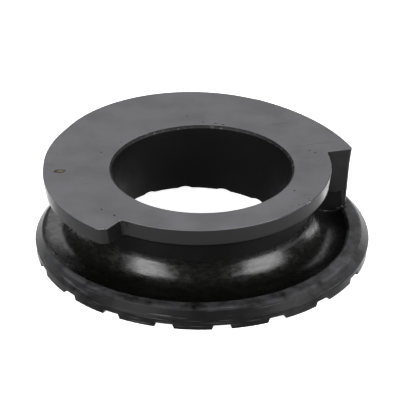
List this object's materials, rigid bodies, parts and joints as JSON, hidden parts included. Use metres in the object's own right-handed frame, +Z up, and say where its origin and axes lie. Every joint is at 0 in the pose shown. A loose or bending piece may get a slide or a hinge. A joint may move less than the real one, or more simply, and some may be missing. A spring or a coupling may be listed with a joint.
{
  "type": "coil spring insulator",
  "caption": "Moulded rubber ring with a spiral channel for a coil spring's end turn, a stop wall, a stepped top flange and a notched foot.",
  "frame": {"origin": "on the bore's axis, at the level of the lugs' feet", "axes": "+Z up along the bore from the feet to the top face; +X towards the stop wall that the spring's end butts against"},
  "size_m": [0.139, 0.1406, 0.035],
  "materials": {
    "rubber": "moulded black rubber, satin on the flange and glossy in the channel"
  },
  "bodies": {
    "root": {"insulator": "rubber"}
  },
  "joints": []
}
